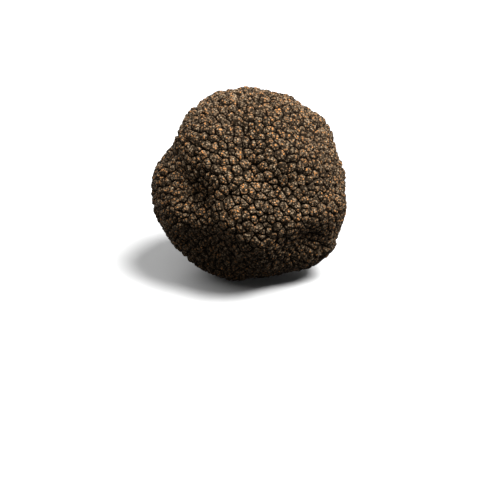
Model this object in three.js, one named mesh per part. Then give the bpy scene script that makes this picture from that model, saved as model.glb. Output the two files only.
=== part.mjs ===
// A whole black truffle, as dug and brushed clean. It is one solid, lumpy body whose skin is raised into
// low polygonal warts with cracks between them, and it rests on a small flat spot.
// Units are millimetres, +Z is up and -Y faces the viewer. The origin is on the surface that the truffle
// rests on, straight under the centre that it grew out from.
import * as THREE from "three";
import { ConvexHull } from "three/addons/math/ConvexHull.js";

// The body before its lobes and folds.
const HALF_WIDTH = 30.4;
const HALF_DEPTH = 28.5;
const HALF_HEIGHT = 31.8;
const CENTRE_HEIGHT = 30.7;

// The skin. A wart's peak stands above the body's surface, and the cracks round it lie below.
const WART_COUNT = 1250;
const WART_RISE = 0.35;
const WART_RISE_SPREAD = 0.3;
const CRACK_DEPTH = 0.45;
const WART_JITTER = 0.36; // as a share of the distance between warts
const SHORTEST_CRACK = 0.15;
const SEED = 11;

// Low swells, about 15 mm from crest to crest, that keep the body from being smooth between its lobes.
// The slants tilt each wave a little, so that the swells don't line up in rows.
const SWELL_RISE = 0.35;
const SWELL_TURNS = 13;
const SWELL_SLANTS = [0.7, -0.4, 0.6];

// Lobes rise and hollows sink, by rise in mm, and fade out over spread in degrees. A place on the body
// is an azimuth and an elevation in degrees: azimuth 0 faces the viewer and +90 is the viewer's right.
const LOBES = [
  { azimuth: -84, elevation: -4, spread: 26, rise: 1.9 }, // left lobe
  { azimuth: -101, elevation: 27, spread: 15, rise: -1.3 }, // nick in the outline above it
  { azimuth: -110, elevation: 43, spread: 9, rise: -0.4 }, // flat over that nick
  { azimuth: -33, elevation: 5, spread: 12, rise: -2.8 }, // pit left of the middle
  { azimuth: -44, elevation: 40, spread: 18, rise: 1.0 }, // ridge over the pit
  { azimuth: -8, elevation: 10, spread: 18, rise: 1.2 }, // foot of that ridge
  { azimuth: 27, elevation: 33, spread: 17, rise: 2.9 }, // bulge right of the middle
  { azimuth: 107, elevation: 38, spread: 12, rise: 1.9 }, // upper right corner
  { azimuth: 113, elevation: 50, spread: 13, rise: -0.6 }, // flat above that corner
  { azimuth: 97, elevation: 20, spread: 18, rise: -0.4 }, // flat of the right side
  { azimuth: 141, elevation: 62, spread: 12, rise: 0.5 }, // right shoulder of the top
  { azimuth: -138, elevation: 60, spread: 14, rise: 0.9 }, // left shoulder of the top
  { azimuth: 180, elevation: 68, spread: 11, rise: -0.9 }, // flat between the shoulders
  { azimuth: 60, elevation: 46, spread: 12, rise: -1.4 }, // dimple by the upper right corner
  { azimuth: 21, elevation: 16, spread: 9, rise: -1.4 }, // dimple under the bulge
  { azimuth: 82, elevation: -12, spread: 22, rise: 0.6 }, // widest part of the right side
  { azimuth: 70, elevation: -42, spread: 23, rise: 4.0 }, // lower right corner
  { azimuth: 47, elevation: -64, spread: 18, rise: -2.0 }, // undercut left of that corner
  { azimuth: 4, elevation: -22, spread: 15, rise: 2.4 }, // keel under the middle
  { azimuth: -32, elevation: -24, spread: 19, rise: -2.8 }, // hollow left of the keel
  { azimuth: 42, elevation: -24, spread: 18, rise: -3.2 }, // hollow right of the keel
  { azimuth: -64, elevation: -38, spread: 26, rise: 1.0 }, // lower left
  { azimuth: 175, elevation: -12, spread: 30, rise: 1.8 }, // swollen back
  { azimuth: 150, elevation: 34, spread: 16, rise: -1.6 }, // hollow in the back's right
  { azimuth: -150, elevation: 18, spread: 18, rise: 1.4 }, // lobe on the back's left
  { azimuth: -128, elevation: -30, spread: 20, rise: -1.8 }, // hollow under that lobe
];

// Folds are long ridges and furrows, each along the shortest way from one place on the body to another.
const FOLDS = [
  { from: [-103, 31], to: [-34, 8], spread: 9, rise: -1.9 }, // between the left lobe and the dome
  { from: [-42, 46], to: [-12, 4], spread: 9, rise: 1.2 }, // ridge down the right of the pit
  { from: [-8, 50], to: [3, 26], spread: 7, rise: -1.9 }, // down the dome's front
  { from: [-46, -4], to: [60, -3], spread: 14, rise: 2.2 }, // brow over the hollows by the keel
  { from: [165, 58], to: [138, 5], spread: 9, rise: -1.3 }, // down the back
];

const GOLDEN_ANGLE = Math.PI * (3 - Math.sqrt(5));
const { degToRad, radToDeg, seededRandom } = THREE.MathUtils;

function directionOf(azimuth, elevation) {
  const a = degToRad(azimuth);
  const e = degToRad(elevation);
  return new THREE.Vector3(Math.sin(a) * Math.cos(e), -Math.cos(a) * Math.cos(e), Math.sin(e));
}

// How far the surface rises at so many degrees from a lobe's top or a fold's line.
function fade(rise, degrees, spread) {
  return rise * Math.exp(-((degrees / spread) ** 2));
}

// Degrees from a direction to the nearest point of a fold's line.
function degreesToFold(direction, start, end) {
  const pole = new THREE.Vector3().crossVectors(start, end).normalize();
  const foot = direction.clone().projectOnPlane(pole);
  const afterStart = new THREE.Vector3().crossVectors(start, foot).dot(pole) >= 0;
  const beforeEnd = new THREE.Vector3().crossVectors(foot, end).dot(pole) >= 0;
  if (afterStart && beforeEnd) return Math.abs(90 - radToDeg(direction.angleTo(pole)));
  return radToDeg(Math.min(direction.angleTo(start), direction.angleTo(end)));
}

function swell(direction) {
  const { x, y, z } = direction.clone().multiplyScalar(SWELL_TURNS);
  const [a, b, c] = SWELL_SLANTS;
  return SWELL_RISE * (Math.sin(x + a * z) * Math.sin(y + b * x) + Math.sin(z + c * y) * Math.cos(x));
}

const lobes = LOBES.map((lobe) => ({ ...lobe, top: directionOf(lobe.azimuth, lobe.elevation) }));
const folds = FOLDS.map((fold) => {
  return { ...fold, start: directionOf(...fold.from), end: directionOf(...fold.to) };
});

// Distance from the growth centre to the body's surface, without warts.
function bodyRadius(direction) {
  const { x, y, z } = direction;
  let radius = 1 / Math.hypot(x / HALF_WIDTH, y / HALF_DEPTH, z / HALF_HEIGHT);
  for (const { top, spread, rise } of lobes) {
    radius += fade(rise, radToDeg(direction.angleTo(top)), spread);
  }
  for (const { start, end, spread, rise } of folds) {
    radius += fade(rise, degreesToFold(direction, start, end), spread);
  }
  return radius + swell(direction);
}

// A point of the skin, lifted above the body's surface. What would reach under the resting plane is
// pressed flat on it, which makes the flat spot.
function skinPoint(direction, lift) {
  const point = direction.clone().multiplyScalar(bodyRadius(direction) + lift);
  point.z = Math.max(point.z + CENTRE_HEIGHT, 0);
  return point;
}

// Directions of the warts' peaks: an even spiral over the whole body, each peak then moved at random.
function wartDirections() {
  const reach = WART_JITTER * Math.sqrt((4 * Math.PI) / WART_COUNT);
  seededRandom(SEED);
  const directions = [];
  for (let i = 0; i < WART_COUNT; i++) {
    const height = 1 - (2 * i + 1) / WART_COUNT;
    const ring = Math.sqrt(1 - height * height);
    const turn = i * GOLDEN_ANGLE;
    const direction = new THREE.Vector3(ring * Math.cos(turn), ring * Math.sin(turn), height);
    const sideways = new THREE.Vector3(seededRandom() - 0.5, seededRandom() - 0.5, seededRandom() - 0.5);
    directions.push(direction.addScaledVector(sideways, 2 * reach).normalize());
  }
  return directions;
}

// Corners closer than SHORTEST_CRACK become one, so that no sliver of a face is left between them.
// cracks holds pairs of corners, and the answer gives the corner that stands for each.
function joinedCorners(points, cracks) {
  const standIn = points.map((_, i) => i);
  const find = (i) => (standIn[i] === i ? i : find(standIn[i]));
  for (const [a, b] of cracks) {
    if (points[a].distanceTo(points[b]) < SHORTEST_CRACK) standIn[find(b)] = find(a);
  }
  return points.map((_, i) => find(i));
}

// The whole skin. Each wart is a low pyramid on the polygon of points nearer to its peak than to any
// other. The polygons' corners lie over the faces of the convex hull of the peaks' directions.
function truffleGeometry() {
  const directions = wartDirections();
  const { faces } = new ConvexHull().setFromPoints(directions);
  const peakNumber = new Map(directions.map((direction, i) => [direction, i]));
  const cornerNumber = new Map(faces.map((face, i) => [face, i]));

  const peaks = directions.map((direction) => {
    const rise = WART_RISE + WART_RISE_SPREAD * (seededRandom() - 0.5);
    return skinPoint(direction, rise);
  });
  const corners = faces.map((face) => skinPoint(face.normal.clone().normalize(), -CRACK_DEPTH));

  const sides = [];
  for (const face of faces) {
    let edge = face.edge;
    do {
      const peak = peakNumber.get(edge.tail().point);
      sides.push([peak, cornerNumber.get(edge.twin.face), cornerNumber.get(face)]);
      edge = edge.next;
    } while (edge !== face.edge);
  }
  const joined = joinedCorners(corners, sides.map(([, a, b]) => [a, b]));
  const index = sides
    .map(([peak, a, b]) => [peak, peaks.length + joined[a], peaks.length + joined[b]])
    .filter(([, a, b]) => a !== b);

  const geometry = new THREE.BufferGeometry().setFromPoints([...peaks, ...corners]);
  geometry.setIndex(index.flat());
  geometry.computeVertexNormals();
  return geometry;
}

const skin = new THREE.MeshStandardMaterial({ color: 0x3b2d21, roughness: 0.7, metalness: 0 });
const body = new THREE.Mesh(truffleGeometry(), skin);
body.name = "truffle";

const truffle = new THREE.Group();
truffle.add(body);

export default truffle;
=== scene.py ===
"""A whole black truffle on a pale floor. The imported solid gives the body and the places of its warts.
This script grows the fine skin on it: the same warts with some small ones between them, deep narrow
cracks, and small knobs on each wart. Directions are unit vectors from the centre that the truffle grew
out from."""

import math

import bmesh
import bpy
import numpy as np
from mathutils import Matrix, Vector
from mathutils.geometry import delaunay_2d_cdt
from mathutils.kdtree import KDTree


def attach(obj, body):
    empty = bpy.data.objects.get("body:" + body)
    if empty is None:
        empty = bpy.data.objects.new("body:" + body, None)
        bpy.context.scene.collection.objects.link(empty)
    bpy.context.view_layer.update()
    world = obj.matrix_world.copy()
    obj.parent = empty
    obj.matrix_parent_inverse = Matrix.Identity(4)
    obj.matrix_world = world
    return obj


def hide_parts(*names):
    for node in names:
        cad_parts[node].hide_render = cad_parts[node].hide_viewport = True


MM = 0.001
SEED = 23
GROWTH_CENTRE = np.array((0, 0, 30.7))  # mm, as in the part's source
BODY_MM = 31.0  # mean distance from there to the skin, to turn lengths on the skin into angles
GOLDEN_ANGLE = math.pi * (3 - math.sqrt(5))

# Reading the solid, in degrees and mm.
BODY_SMOOTHING = 3.2
PEAK_RISE = 0.2  # a wart's peak stands this far over the points round it
BARE_GAP = 2.5  # on the flat spot the solid has no peaks, so the script adds warts this far from any
BARE_JITTER = 0.2  # as a share of the distance between those warts

# The layout of the warts, in mm.
SMALL_WART_SHARE = 0.12  # of the places where three warts meet, how many hold a small wart
FUSED_SHARE = 0.14  # of the pairs of warts that touch, how many have grown together
CRACK_STEP = 0.45  # between points along a crack
WALL = 0.25  # from a crack's bottom to the top of its wall
MEETING_WALL = 1.15  # the same where cracks meet, as a share of WALL
WALL_SPARE = 0.7  # a wall's points keep this share of WALL from every crack
FILL_COUNT = 75000  # points on the whole body, of which the warts' tops keep their share
FILL_JITTER = 0.3  # as a share of the distance between those points
FILL_EDGE = 0.44  # from a crack to the nearest such point
WOBBLE = 0.16  # how far the skin is pulled sideways, to bend the cracks
WOBBLE_LENGTH = 3.1  # from one bend to the next
NEIGHBOURS = 4  # how many warts near a point are looked at for its cracks, with the one that it is on
NEAR_VERTICAL = (0.01, 0.02, 1)  # no wart lies exactly on this line, so it gives each one an east

# Heights over the body's mean surface, in mm.
WART_TOP = 0.46
WART_RANDOM = 0.05
KNOB_RANDOM = 0.08
CRACK_BOTTOM = -0.8
BOTTOM_RANDOM = 0.12  # rises and falls along a crack's bottom
BOTTOM_LENGTH = 4.0  # from one of them to the next
FUSED_DEPTH = 0.22  # as a share of a full crack's depth
SHOULDER = 0.9  # from a crack to where a wart's top is level
CORNER = 0.13  # how far the corners between two cracks are rounded off
SHOULDER_DROP = 0.30  # how far a wart's top is rounded down at a crack
CROWN_DROP = 0.50  # the same round the top of the truffle, where the warts stand further apart
CREASE_DEPTH = 0.20  # how far the creases between knobs go down, under the wart's first knob
GRAIN = 0.035  # small rises and falls all over the skin
GRAIN_LENGTH = 0.9  # from one of them to the next

# The truffle's crown, by the height of a direction, from -1 at the bottom to 1 at the top.
CROWN_START = 0.25
CROWN_FADE = 0.5
CROWN_UNEVENNESS = 0.25  # how far the crown's edge wanders up and down
CROWN_PATCH = 24.0  # mm from one rise of that edge to the next

# The light specks are the tips' tan and rust, lightened as a painted highlight on the warts' tops.
# A wart's light specks are weak within a margin beside its cracks, drawn for each wart from this range
# in mm. From there they brighten over SPECK_FADE.
SPECK_MARGINS = (-0.2, 0.3)
SPECK_FADE = 0.5

# Knobs, in mm.
WART_KNOBS = (5, 10)  # the fewest and the most on a wart
SMALL_WART_KNOBS = (2, 3)
MOST_KNOBS = WART_KNOBS[1]
SMALL_WART = 1.15  # half the distance to the neighbours, under which a wart counts as small
SMALL_WART_SINK = 0.12  # how much lower a small wart is
SIZE_NEIGHBOURS = 4  # how many neighbours that distance is the mean of
KNOB_WARTS = 3  # a point may lie on a knob of any of so many warts near it
KNOB_ROUNDNESS = 0.55  # radius of a knob's top
KNOB_STRETCH = 0.62  # how much flatter the longest knobs are along than across
KNOB_REACHES = (0.45, 0.85)  # from a wart's middle to its knobs, as a share of the wart's size
FIRST_KNOB_REACHES = (0, 0.6)  # as a share of the others' reach
KNOB_TURN_RANDOM = 0.35  # radians
KNOB_LEAN_RANDOM = 0.6  # radians
SUNK = -9  # the height of knobs that a wart does without, well under the skin

# Colours, as linear light.
# Near-black in the cracks: the skin's own dark colour with painted shade over it.
CRACK_SKIN_AND_SHADE_COLOUR = (0.002, 0.0012, 0.0006, 1)
# Near-black in the pits, creases and beside the cracks: dark skin with painted shade over it.
PIT_SKIN_AND_SHADE_COLOUR = (0.005, 0.003, 0.0015, 1)
SKIN_COLOUR = (0.056, 0.038, 0.021, 1)
FLANK_COLOUR = (0.086, 0.063, 0.042, 1)
# The specks: the tips' own tan and rust, lightened as a painted highlight.
TAN_TIP_AND_HIGHLIGHT_COLOUR = (0.26, 0.186, 0.116, 1)
RUST_TIP_AND_HIGHLIGHT_COLOUR = (0.37, 0.155, 0.045, 1)

# The material's patterns, in mm.
SPECK_SIZE = 0.74
RIM_NOISE = 0.4
FLANK_NOISE = 0.5
GRAIN_NOISE = 0.3
BUMP_DEPTH = 0.36

# A pair below says where a look starts and where it is full. Distances from a speck's middle are shares
# of SPECK_SIZE, and nearness to a crack is 1 at its bottom and 0 where the wart's top is level.
FLANK_PATCHES = (0.35, 0.65)  # by the noise, from the skin's colour to the flank's

# The light specks, tan and rust tips lit up as a painted highlight. Their strengths are shares of the
# most.
SPECK_RIM = (0.48, 0.20)  # by distance from the speck's middle
RIM_UNEVENNESS = 0.12  # how far noise moves that rim in and out
RIM_PATCHES = (0.3, 0.7)  # by the noise, from furthest in to furthest out
FAINT_SPECKS = 0.5  # as a share of all specks
FAINTEST_SPECK = 0.2  # strength of the faintest one
# Down in creases, within a wart's margin and beside cracks the painted highlight is dimmer.
CREASE_SPECKS = 0.4  # strength in the deepest creases
CREASE_END = 0.22  # mm under the wart's first knob, where the strength is down to that
MARGIN_SPECKS = 0.45  # strength within a wart's margin
SPECK_EDGE = (1.0, 0.7)  # by nearness to a crack
RUST_HUES = (0.38, 0.50)  # by the speck's random hue, from tan to rust

# The dark places are the skin's dark pits with painted shade in the hollows.
# The dark places. Between specks and down in creases the skin is pitted, and the two add up.
BETWEEN_SPECKS = (0.38, 0.72)  # by distance from the speck's middle
BETWEEN_PIT_AND_SHADE = 0.25  # how pitted the skin is there
CREASE_PIT_AND_SHADE = 0.4  # how pitted it is for each mm of a crease's depth
PITTED = (0.06, 0.24)  # by how pitted the skin is
PIT_SHADE_SHARE = 0.9  # of the pit's colour where it is most pitted
# Painted shade beside the cracks, in the pits' colour.
SHADE_BY_CRACKS = (0.74, 0.96)  # by nearness to a crack
SHADE_BY_CRACKS_SHARE = 0.65  # of the pit's colour beside a crack
CRACK_OPEN = (0.1, 0.6)  # by how open the crack is, 1 at its bottom

# Shades that multiply the colour. Painted shade darkens the skin low down, between two heights in metres.
WART_SHADES = (0.93, 1.07)
KNOB_SHADES = (0.88, 1.12)
PAINTED_SHADE_HEIGHTS = (0.008, 0.036)
PAINTED_SHADE_LEVELS = (0.65, 1.03)

# Gloss and relief.
ROUGHNESS = (0.5, 0.85)  # on the tops and in the pits
MOST_PITTED = 0.4  # how pitted the skin is where it is roughest
SPECULAR = 0.015
DOME_RADIUS = 0.75  # of the dome that each speck is, as a share of SPECK_SIZE
MARGIN_DOMES = 0.7  # their height within a wart's margin, as a share of the full one
GRAIN_SHARE = 0.5  # height of the finest grain, as a share of a dome's

# The floor and the studio. The floor throws no light up at the truffle: FLOOR_LIGHT stands for what
# little comes from below.
FLOOR_SIZE = 12  # m
FLOOR_COLOUR = (0.35, 0.35, 0.35, 1)
FLOOR_ROUGHNESS = 0.9
FLOOR_LIGHT = 0.015
CEILING_LIGHT = 0.05

# The studio's light against the sine of the height over the horizon. The white walls start a little
# under the horizon, behind the floor's far edge.
WALL_LIGHT = ((-0.03, FLOOR_LIGHT), (-0.02, 1.0), (0.16, 1.0), (0.3, CEILING_LIGHT))

# Each softbox's name, strength, width in degrees, and the direction that it shines in.
SOFTBOXES = (
    ("right_softbox", 14.0, 32, (-0.41, 0.26, -0.87)),
    ("left_softbox", 2.3, 60, (0.45, 0.20, -0.87)),
    ("back_softbox", 2.5, 60, (0.15, -0.88, -0.45)),
)

# The camera's view: angles, distances in metres, and where the growth centre falls in a square frame.
FRAME_PIXELS = 480
CENTRE_AT_PIXEL = (250.5, 185.0)
CAMERA_PITCH = math.radians(22)
CAMERA_FIELD = math.radians(22)
CAMERA_DISTANCE = 0.405
CAMERA_NEAREST = 0.01
SENSOR_MM = 36


def unit(vectors):
    return vectors / np.linalg.norm(vectors, axis=-1, keepdims=True)


def ease(value):
    """Runs smoothly from 0 to 1 as the value does."""
    value = value.clip(0, 1)
    return value * value * (3 - 2 * value)


def ripple(points, length, rng, waves=16):
    """Smooth random heights, mostly from -1 to 1, that repeat at about the given length."""
    along = unit(rng.normal(size=(waves, 3))) * (2 * math.pi / length)
    return np.sin(points @ along.T + rng.uniform(0, 2 * math.pi, waves)).sum(1) / math.sqrt(waves)


def even_directions(count, jitter, rng):
    """Directions spread evenly on a spiral, each then moved at random by a share of their distance."""
    step = np.arange(count) + 0.5
    height = 1 - 2 * step / count
    ring = np.sqrt(1 - height**2)
    turn = step * GOLDEN_ANGLE
    spiral = np.stack([ring * np.cos(turn), ring * np.sin(turn), height], axis=1)
    reach = jitter * math.sqrt(4 * math.pi / count)
    return unit(spiral + rng.uniform(-reach, reach, (count, 3)))


def nearest(points, places, count):
    """The numbers of the places nearest to each point, nearest first."""
    tree = KDTree(len(places))
    for number, place in enumerate(places):
        tree.insert(place, number)
    tree.balance()
    return np.array([[number for _, number, _ in tree.find_n(point, count)] for point in points])


class Body:
    """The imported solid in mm, as a distance from the growth centre in each direction. The warts are
    smoothed away."""

    def __init__(self, node):
        corners = np.empty(len(node.data.vertices) * 3)
        node.data.vertices.foreach_get("co", corners)
        # Corners in the same place, to a thousandth of a mm, become one point.
        points, number = np.unique((corners.reshape(-1, 3) / MM).round(3), axis=0, return_inverse=True)
        sides = np.empty(len(node.data.edges) * 2, dtype=int)
        node.data.edges.foreach_get("vertices", sides)
        self.sides = np.unique(np.sort(number.ravel()[sides].reshape(-1, 2)), axis=0)
        arms = points - GROWTH_CENTRE
        self.reach = np.linalg.norm(arms, axis=1).astype(np.float32)
        self.towards = unit(arms).astype(np.float32)

    def radius(self, directions, block=4000):
        sharpness = 2 / math.radians(BODY_SMOOTHING) ** 2
        found = []
        for start in range(0, len(directions), block):
            closeness = directions[start : start + block].astype(np.float32) @ self.towards.T
            weights = np.exp((closeness - 1) * sharpness)
            found.append(weights @ self.reach / weights.sum(1))
        return np.concatenate(found).astype(float)

    def wart_peaks(self):
        """Directions of the solid's points that stand over all the points round them, on the whole."""
        ends = np.vstack([self.sides, self.sides[:, ::-1]])
        total = np.bincount(ends[:, 0], weights=self.reach[ends[:, 1]])
        above = self.reach - total / np.bincount(ends[:, 0])
        return self.towards[above > PEAK_RISE].astype(float)


def hull_faces(directions):
    """Triangles of the convex hull, three numbers each, anticlockwise from outside."""
    bm = bmesh.new()
    for direction in directions:
        bm.verts.new(direction)
    bm.verts.index_update()
    bmesh.ops.convex_hull(bm, input=bm.verts)
    faces = np.array([[v.index for v in face.verts] for face in bm.faces])
    bm.free()
    a, b, c = (directions[faces[:, i]] for i in range(3))
    inward = (np.cross(b - a, c - a) * a).sum(1) < 0
    faces[inward] = faces[inward][:, ::-1]
    return faces


def meeting_places(directions, faces):
    """Where three neighbouring warts meet: the middle of the circle through their directions."""
    a, b, c = (directions[faces[:, i]] for i in range(3))
    return unit(np.cross(b - a, c - a))


def wart_directions(body, rng):
    """The solid's own warts, more of the same on the bare flat spot, and small ones between them."""
    peaks = body.wart_peaks()
    spread = even_directions(len(peaks), BARE_JITTER, rng)
    closest = (spread @ peaks.T).max(1)
    warts = np.vstack([peaks, spread[closest < math.cos(BARE_GAP / BODY_MM)]])
    meetings = meeting_places(warts, hull_faces(warts))
    return np.vstack([warts, meetings[rng.random(len(meetings)) < SMALL_WART_SHARE]])


def crack_points(warts):
    """Points along the bottoms of the cracks, and points on the walls beside them."""
    faces = hull_faces(warts)
    meetings = meeting_places(warts, faces)
    # Two neighbouring warts share a crack, from the meeting place on one side of the line between them
    # to the one on its other side. Each pair counts once.
    tail, head = faces.ravel(), np.roll(faces, -1, axis=1).ravel()
    key, twin_key = tail * len(warts) + head, head * len(warts) + tail
    order = np.argsort(key)
    twin = order[np.searchsorted(key[order], twin_key)]
    once = np.flatnonzero(tail < head)
    start, end = meetings[once // 3], meetings[twin[once] // 3]
    across = unit(warts[tail[once]] - warts[head[once]])

    # Each crack is split into equal parts, and has a point between every two.
    parts = np.ceil(np.linalg.norm(start - end, axis=1) * BODY_MM / CRACK_STEP).astype(int).clip(1)
    crack = np.repeat(np.arange(len(once)), parts - 1)
    first = np.repeat(np.cumsum(parts - 1) - (parts - 1), parts - 1)
    share = ((np.arange(len(crack)) - first + 1) / parts[crack])[:, None]
    along = unit(start[crack] * (1 - share) + end[crack] * share)
    aside = across[crack] * WALL / BODY_MM
    inward = unit(warts[faces] - meetings[:, None]) * MEETING_WALL * WALL / BODY_MM
    walls = np.vstack([along + aside, along - aside, (meetings[:, None] + inward).reshape(-1, 3)])
    return np.vstack([meetings, along]), unit(walls)


def crack_distances(points, warts, near):
    """Distance in mm from each point to its border with each of the next nearest warts."""
    between = unit(warts[near[:, :1]] - warts[near[:, 1:]])
    return (between * points[:, None]).sum(2).clip(0) * BODY_MM


def rounded_corners(distance):
    """The same distances, less where a point is near to two cracks at once."""
    blended = -CORNER * np.log(np.exp(-distance / CORNER).sum(1))
    return (distance + (blended - distance.min(1))[:, None]).clip(0)


def sphere_triangles(directions):
    """Triangles between neighbouring directions, anticlockwise from outside. They are found on a plane,
    on which the sphere is projected from its lowest point. The last direction is that point."""
    flat = directions[:-1, :2] / (1 + directions[:-1, 2:])
    triangles = np.array(delaunay_2d_cdt([Vector(point) for point in flat], [], [], 0, 0.0, False)[2])
    tail, head = triangles.ravel(), np.roll(triangles, -1, axis=1).ravel()
    count = len(directions)
    rim = ~np.isin(tail * count + head, head * count + tail)
    closing = np.stack([head[rim], tail[rim], np.full(rim.sum(), count - 1)], axis=1)
    return np.vstack([triangles, closing])


def skin_layout(warts, rng):
    """Directions of the skin's points, dense along the cracks, and the warts nearest to each."""
    cracks, walls = crack_points(warts)
    fill = even_directions(FILL_COUNT, FILL_JITTER, rng)
    loose = np.vstack([walls, fill])
    away = crack_distances(loose, warts, nearest(loose, warts, NEIGHBOURS)).min(1)
    keep = away > np.where(np.arange(len(loose)) < len(walls), WALL_SPARE * WALL, FILL_EDGE)
    directions = np.vstack([cracks, loose[keep], [(0, 0, -1)]])
    return directions, nearest(directions, warts, NEIGHBOURS)


def sideways(warts, turn):
    """Unit vectors along the skin at each wart, turned by the given angles."""
    east = unit(np.cross(warts, NEAR_VERTICAL))[:, None]
    north = np.cross(warts[:, None], east)
    return np.cos(turn)[..., None] * east + np.sin(turn)[..., None] * north


def knob_counts(small, rng):
    few = rng.integers(SMALL_WART_KNOBS[0], SMALL_WART_KNOBS[1] + 1, len(small))
    many = rng.integers(WART_KNOBS[0], WART_KNOBS[1] + 1, len(small))
    return np.where(small, few, many)


def knobs(warts, rng):
    """Places, heights and stretch of the knobs, the same number for each wart. The knobs that a wart
    does without are sunk."""
    neighbours = nearest(warts, warts, SIZE_NEIGHBOURS + 1)[:, 1:]
    size = np.linalg.norm(warts[neighbours] - warts[:, None], axis=2).mean(1) * BODY_MM / 2
    small = size < SMALL_WART
    count = knob_counts(small, rng)
    turn = rng.uniform(0, 2 * math.pi, len(warts))[:, None]
    turn = turn + np.arange(MOST_KNOBS) * 2 * math.pi / count[:, None]
    turn += rng.normal(0, KNOB_TURN_RANDOM, turn.shape)
    out = size[:, None] * rng.uniform(*KNOB_REACHES, turn.shape)
    out[:, 0] *= rng.uniform(*FIRST_KNOB_REACHES, len(warts))
    places = warts[:, None] * BODY_MM + sideways(warts, turn) * out[..., None]

    rises = WART_TOP + rng.normal(0, WART_RANDOM, (len(warts), 1)) - SMALL_WART_SINK * small[:, None]
    rises = rises + rng.normal(0, KNOB_RANDOM, turn.shape)
    rises[np.arange(MOST_KNOBS) >= count[:, None]] = SUNK
    lean = turn + math.pi / 2 + rng.normal(0, KNOB_LEAN_RANDOM, turn.shape)
    stretch = np.sqrt(rng.uniform(0, KNOB_STRETCH, turn.shape))[..., None]
    return places, rises, sideways(warts, lean) * stretch


def knob_heights(directions, near, warts, rng):
    """The height of each point on its highest knob, the heights of all the knobs, and which of them
    the point lies on."""
    places, rises, stretch = knobs(warts, rng)
    around = near[:, :KNOB_WARTS]
    arm = directions[:, None, None] * BODY_MM - places[around]
    away = (arm**2).sum(3) - (arm * stretch[around]).sum(3) ** 2
    tops = (rises[around] - away / (2 * KNOB_ROUNDNESS)).reshape(len(directions), -1)
    chosen = tops.argmax(1)
    wart = around[np.arange(len(near)), chosen // MOST_KNOBS]
    return tops.max(1), rises, wart * MOST_KNOBS + chosen % MOST_KNOBS


def shoulder_drop(directions, rng):
    """How far the warts' tops are rounded down at their cracks, in mm. It is more round the crown."""
    wander = CROWN_UNEVENNESS * ripple(directions * BODY_MM, CROWN_PATCH, rng)
    crown = ease((directions[:, 2] - CROWN_START) / CROWN_FADE + wander)
    return SHOULDER_DROP + (CROWN_DROP - SHOULDER_DROP) * crown


def skin_heights(directions, near, warts, rng):
    """Height of each point over the body in mm, and what the colours depend on."""
    top, rises, knob = knob_heights(directions, near, warts, rng)
    first_knob = rises[near[:, 0], 0]
    top = np.maximum(top, first_knob - CREASE_DEPTH)
    distance = rounded_corners(crack_distances(directions, warts, near))
    rounding = shoulder_drop(directions, rng) * (1 - ease(distance.min(1) / SHOULDER))

    fused = np.triu(rng.random((len(warts), len(warts))) < FUSED_SHARE)
    fused |= fused.T
    grown_together = fused[near[:, :1], near[:, 1:]]
    depth = np.where(grown_together, FUSED_DEPTH, 1.0)
    margin = rng.uniform(*SPECK_MARGINS, len(warts))[near[:, 0]]
    from_crack = np.where(grown_together, BODY_MM, distance).min(1)
    opened = (depth * (1 - ease(distance / WALL))).max(1)
    bottom = CRACK_BOTTOM + BOTTOM_RANDOM * ripple(directions * BODY_MM, BOTTOM_LENGTH, rng)
    height = (top - rounding) * (1 - opened) + bottom * opened
    height += GRAIN * ripple(directions * BODY_MM, GRAIN_LENGTH, rng)
    values = {
        "opened": opened,  # 1 at a crack's bottom, 0 from the top of its wall
        "edge": (depth * (1 - ease(distance / SHOULDER))).max(1),  # 1 at a crack, 0 on the level top
        "specked": ease((from_crack - margin) / SPECK_FADE),  # 1 where the wart's light specks are
        "below_top": first_knob - top,  # mm
        "knob_tone": rng.random(rises.size)[knob],
        "wart_tone": rng.random(len(warts))[near[:, 0]],
    }
    return height, values


def skin_mesh(body, rng):
    warts = wart_directions(body, rng)
    directions, near = skin_layout(warts, rng)
    triangles = sphere_triangles(directions)
    height, values = skin_heights(directions, near, warts, rng)
    pull = np.stack([ripple(directions * BODY_MM, WOBBLE_LENGTH, rng) for _ in range(3)], axis=1)
    bent = unit(directions + pull * WOBBLE / BODY_MM)
    points = GROWTH_CENTRE + bent * (body.radius(bent) + height)[:, None]
    points[:, 2] = points[:, 2].clip(0)
    mesh = bpy.data.meshes.new("truffle_skin")
    mesh.from_pydata((points * MM).tolist(), [], triangles.tolist())
    mesh.shade_smooth()
    for name, value in values.items():
        mesh.attributes.new(name, "FLOAT", "POINT").data.foreach_set("value", value.astype(np.float32))
    return mesh


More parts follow.
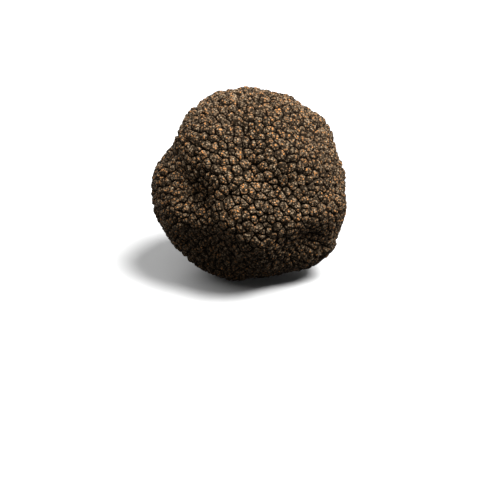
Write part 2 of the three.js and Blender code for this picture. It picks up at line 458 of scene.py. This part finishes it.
class Shader:
    """Short ways to add and join the nodes of one material."""

    def __init__(self, name):
        self.material = bpy.data.materials.new(name)
        self.material.use_nodes = True
        self.tree = self.material.node_tree
        self.surface = self.tree.nodes["Principled BSDF"]

    def add(self, kind, settings=(), inputs=()):
        node = self.tree.nodes.new(kind)
        for name, value in dict(settings).items():
            setattr(node, name, value)
        for name, value in dict(inputs).items():
            self.feed(node.inputs[name], value)
        return node

    def feed(self, socket, value):
        if isinstance(value, bpy.types.NodeSocket):
            self.tree.links.new(value, socket)
        else:
            socket.default_value = value

    def attribute(self, name):
        return self.add("ShaderNodeAttribute", {"attribute_name": name}).outputs["Fac"]

    def span(self, value, low, high, bottom=0.0, top=1.0):
        """Runs smoothly from bottom to top as the value goes from low to high."""
        inputs = {"Value": value, "From Min": low, "From Max": high, "To Min": bottom, "To Max": top}
        settings = {"interpolation_type": "SMOOTHSTEP"}
        return self.add("ShaderNodeMapRange", settings, inputs).outputs["Result"]

    def maths(self, kind, a, b):
        return self.add("ShaderNodeMath", {"operation": kind}, {0: a, 1: b}).outputs[0]

    def product(self, value, *others):
        for other in others:
            value = self.maths("MULTIPLY", value, other)
        return value

    def mix(self, share, a, b, blend="MIX"):
        node = self.add("ShaderNodeMix", {"data_type": "RGBA", "blend_type": blend})
        for socket, value in zip((node.inputs[0], node.inputs[6], node.inputs[7]), (share, a, b)):
            self.feed(socket, value)
        return node.outputs[2]

    def place(self):
        return self.add("ShaderNodeTexCoord").outputs["Object"]

    def height(self):
        return self.add("ShaderNodeSeparateXYZ", inputs={0: self.place()}).outputs["Z"]

    def noise(self, size_mm, detail=3.0, roughness=0.6):
        scale = 1 / (size_mm * MM)
        inputs = {"Vector": self.place(), "Scale": scale, "Detail": detail, "Roughness": roughness}
        return self.add("ShaderNodeTexNoise", inputs=inputs).outputs["Fac"]

    def cells(self, size_mm):
        """Distance from the nearest cell's middle, as a share of the size, and two random tones of it."""
        inputs = {"Vector": self.place(), "Scale": 1 / (size_mm * MM)}
        node = self.add("ShaderNodeTexVoronoi", inputs=inputs)
        tones = self.add("ShaderNodeSeparateColor", inputs={"Color": node.outputs["Color"]})
        return node.outputs["Distance"], tones.outputs["Red"], tones.outputs["Green"]


def dark_skin(shader, pits_and_shade, edge):
    """The colour of the warts without their specks, with painted shade in pits, creases and by cracks."""
    patches = shader.span(shader.noise(FLANK_NOISE), *FLANK_PATCHES)
    colour = shader.mix(patches, SKIN_COLOUR, FLANK_COLOUR)
    # Dark pits with painted shade, deeper down in the creases and between the specks.
    colour = shader.mix(shader.span(pits_and_shade, *PITTED, 0.0, PIT_SHADE_SHARE), colour, PIT_SKIN_AND_SHADE_COLOUR)
    # Painted shade beside the cracks.
    return shader.mix(shader.span(edge, *SHADE_BY_CRACKS, 0.0, SHADE_BY_CRACKS_SHARE), colour, PIT_SKIN_AND_SHADE_COLOUR)


def speck_and_highlight_strength(shader, away, tone, below, specked, edge):
    """How far a light speck, partly painted highlight, covers the skin, from 0 to 1."""
    return shader.product(
        shader.span(away, *SPECK_RIM),
        shader.span(tone, 0.0, FAINT_SPECKS, FAINTEST_SPECK, 1.0),
        shader.span(below, CREASE_END, 0.0, CREASE_SPECKS, 1.0),
        shader.span(specked, 0.0, 1.0, MARGIN_SPECKS, 1.0),
        shader.span(edge, *SPECK_EDGE),
    )


def shaded(shader, colour):
    """The colour, a little lighter or darker from wart to wart and knob to knob, with painted shade low
    down.
    """
    shade = shader.product(
        shader.span(shader.attribute("wart_tone"), 0.0, 1.0, *WART_SHADES),
        shader.span(shader.attribute("knob_tone"), 0.0, 1.0, *KNOB_SHADES),
        # Painted shade, darker towards the bottom.
        shader.span(shader.height(), *PAINTED_SHADE_HEIGHTS, *PAINTED_SHADE_LEVELS),
    )
    grey = shader.add("ShaderNodeCombineColor", inputs={"Red": shade, "Green": shade, "Blue": shade})
    return shader.mix(1.0, colour, grey.outputs["Color"], "MULTIPLY")


def relief(shader, away, specked):
    """The finest relief: a low dome for each speck, and grain."""
    domes = shader.span(away, 0.0, DOME_RADIUS, 1.0, 0.0)
    domes = shader.product(domes, shader.span(specked, 0.0, 1.0, MARGIN_DOMES, 1.0))
    grain = shader.product(shader.noise(GRAIN_NOISE), GRAIN_SHARE)
    inputs = {"Height": shader.maths("ADD", domes, grain), "Strength": 1.0, "Distance": BUMP_DEPTH * MM}
    return shader.add("ShaderNodeBump", inputs=inputs).outputs["Normal"]


def skin_material():
    shader = Shader("truffle_skin")
    below, edge, specked = (shader.attribute(name) for name in ("below_top", "edge", "specked"))
    away, tone, hue = shader.cells(SPECK_SIZE)
    uneven = shader.span(shader.noise(RIM_NOISE), *RIM_PATCHES, -RIM_UNEVENNESS, RIM_UNEVENNESS)
    away = shader.maths("ADD", away, uneven)
    # Painted shade between the specks' domes and down in the creases, over the skin's own pits.
    between = shader.span(away, *BETWEEN_SPECKS, 0.0, BETWEEN_PIT_AND_SHADE)
    pits_and_shade = shader.maths("ADD", shader.product(below, CREASE_PIT_AND_SHADE), between)

    # Tan and rust tips with a painted highlight.
    speck = shader.mix(shader.span(hue, *RUST_HUES), TAN_TIP_AND_HIGHLIGHT_COLOUR, RUST_TIP_AND_HIGHLIGHT_COLOUR)
    strength = speck_and_highlight_strength(shader, away, tone, below, specked, edge)
    colour = shader.mix(strength, dark_skin(shader, pits_and_shade, edge), speck)
    # The crack's bottom is painted near-black: dark skin and painted shade.
    crack = shader.span(shader.attribute("opened"), *CRACK_OPEN)
    colour = shader.mix(crack, colour, CRACK_SKIN_AND_SHADE_COLOUR)
    shader.feed(shader.surface.inputs["Base Color"], shaded(shader, colour))
    shader.feed(shader.surface.inputs["Roughness"], shader.span(pits_and_shade, 0.0, MOST_PITTED, *ROUGHNESS))
    shader.feed(shader.surface.inputs["Specular IOR Level"], SPECULAR)
    shader.feed(shader.surface.inputs["Normal"], relief(shader, away, specked))
    return shader.material


def truffle(frame, rng):
    piece = bpy.data.objects.new("truffle_warty_skin", skin_mesh(Body(frame["nodes"]["truffle"]), rng))
    bpy.context.scene.collection.objects.link(piece)
    piece.data.materials.append(skin_material())
    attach(piece, "root")
    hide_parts("truffle")


def floor_material():
    shader = Shader("floor")
    shader.feed(shader.surface.inputs["Base Color"], FLOOR_COLOUR)
    shader.feed(shader.surface.inputs["Roughness"], FLOOR_ROUGHNESS)
    shader.feed(shader.surface.inputs["Specular IOR Level"], 0.0)
    return shader.material


def floor():
    bpy.ops.mesh.primitive_plane_add(size=FLOOR_SIZE)
    ground = bpy.context.object
    ground.name = "floor"
    ground.data.materials.append(floor_material())
    ground.visible_diffuse = False


def studio():
    """White walls low round the floor under a dim ceiling. The ramp of light runs from straight down,
    where the sine of the height is -1, to straight up, where it is 1."""
    world = bpy.data.worlds.new("studio")
    bpy.context.scene.world = world
    world.use_nodes = True
    tree = world.node_tree
    direction = tree.nodes.new("ShaderNodeSeparateXYZ")
    tree.links.new(tree.nodes.new("ShaderNodeTexCoord").outputs["Generated"], direction.inputs[0])
    height = tree.nodes.new("ShaderNodeMapRange")
    height.inputs["From Min"].default_value = -1
    tree.links.new(direction.outputs["Z"], height.inputs["Value"])
    walls = tree.nodes.new("ShaderNodeValToRGB")
    stops = walls.color_ramp.elements
    while len(stops) < len(WALL_LIGHT):
        stops.new(1.0)
    for stop, (sine, level) in zip(stops, WALL_LIGHT):
        stop.position = (sine + 1) / 2
        stop.color = (level, level, level, 1)
    tree.links.new(height.outputs["Result"], walls.inputs["Fac"])
    tree.links.new(walls.outputs["Color"], tree.nodes["Background"].inputs["Color"])


def softbox(name, energy, width, towards):
    """A far lamp of so many degrees across that shines towards the given direction."""
    light = bpy.data.lights.new(name, "SUN")
    light.energy = energy
    light.angle = math.radians(width)
    lamp = bpy.data.objects.new(name, light)
    lamp.rotation_euler = Vector(towards).to_track_quat("-Z", "Y").to_euler()
    bpy.context.scene.collection.objects.link(lamp)


def camera():
    """Looks down at CAMERA_PITCH, from where the growth centre falls on CENTRE_AT_PIXEL."""
    ahead = Vector((0, math.cos(CAMERA_PITCH), -math.sin(CAMERA_PITCH)))
    right = Vector((1, 0, 0))
    up = right.cross(ahead)
    half = FRAME_PIXELS / 2
    slope = math.tan(CAMERA_FIELD / 2) / half
    ray = ahead + right * (CENTRE_AT_PIXEL[0] - half) * slope - up * (CENTRE_AT_PIXEL[1] - half) * slope
    data = bpy.data.cameras.new("camera")
    data.sensor_width = SENSOR_MM
    data.lens = SENSOR_MM / 2 / math.tan(CAMERA_FIELD / 2)
    data.clip_start = CAMERA_NEAREST
    view = bpy.data.objects.new("camera", data)
    view.location = Vector(GROWTH_CENTRE * MM) - ray * CAMERA_DISTANCE
    view.rotation_euler = ahead.to_track_quat("-Z", "Y").to_euler()
    bpy.context.scene.collection.objects.link(view)
    bpy.context.scene.camera = view


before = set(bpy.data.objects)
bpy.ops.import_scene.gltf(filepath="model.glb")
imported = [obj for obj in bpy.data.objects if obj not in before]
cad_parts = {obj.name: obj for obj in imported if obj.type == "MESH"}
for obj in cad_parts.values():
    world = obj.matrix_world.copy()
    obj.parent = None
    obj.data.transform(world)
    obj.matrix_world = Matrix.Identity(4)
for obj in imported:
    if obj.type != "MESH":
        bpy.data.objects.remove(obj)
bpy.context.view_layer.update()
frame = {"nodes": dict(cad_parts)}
truffle(frame, np.random.default_rng(SEED))
floor()
studio()
for box in SOFTBOXES:
    softbox(*box)
camera()
bpy.context.scene.view_settings.view_transform = "Standard"
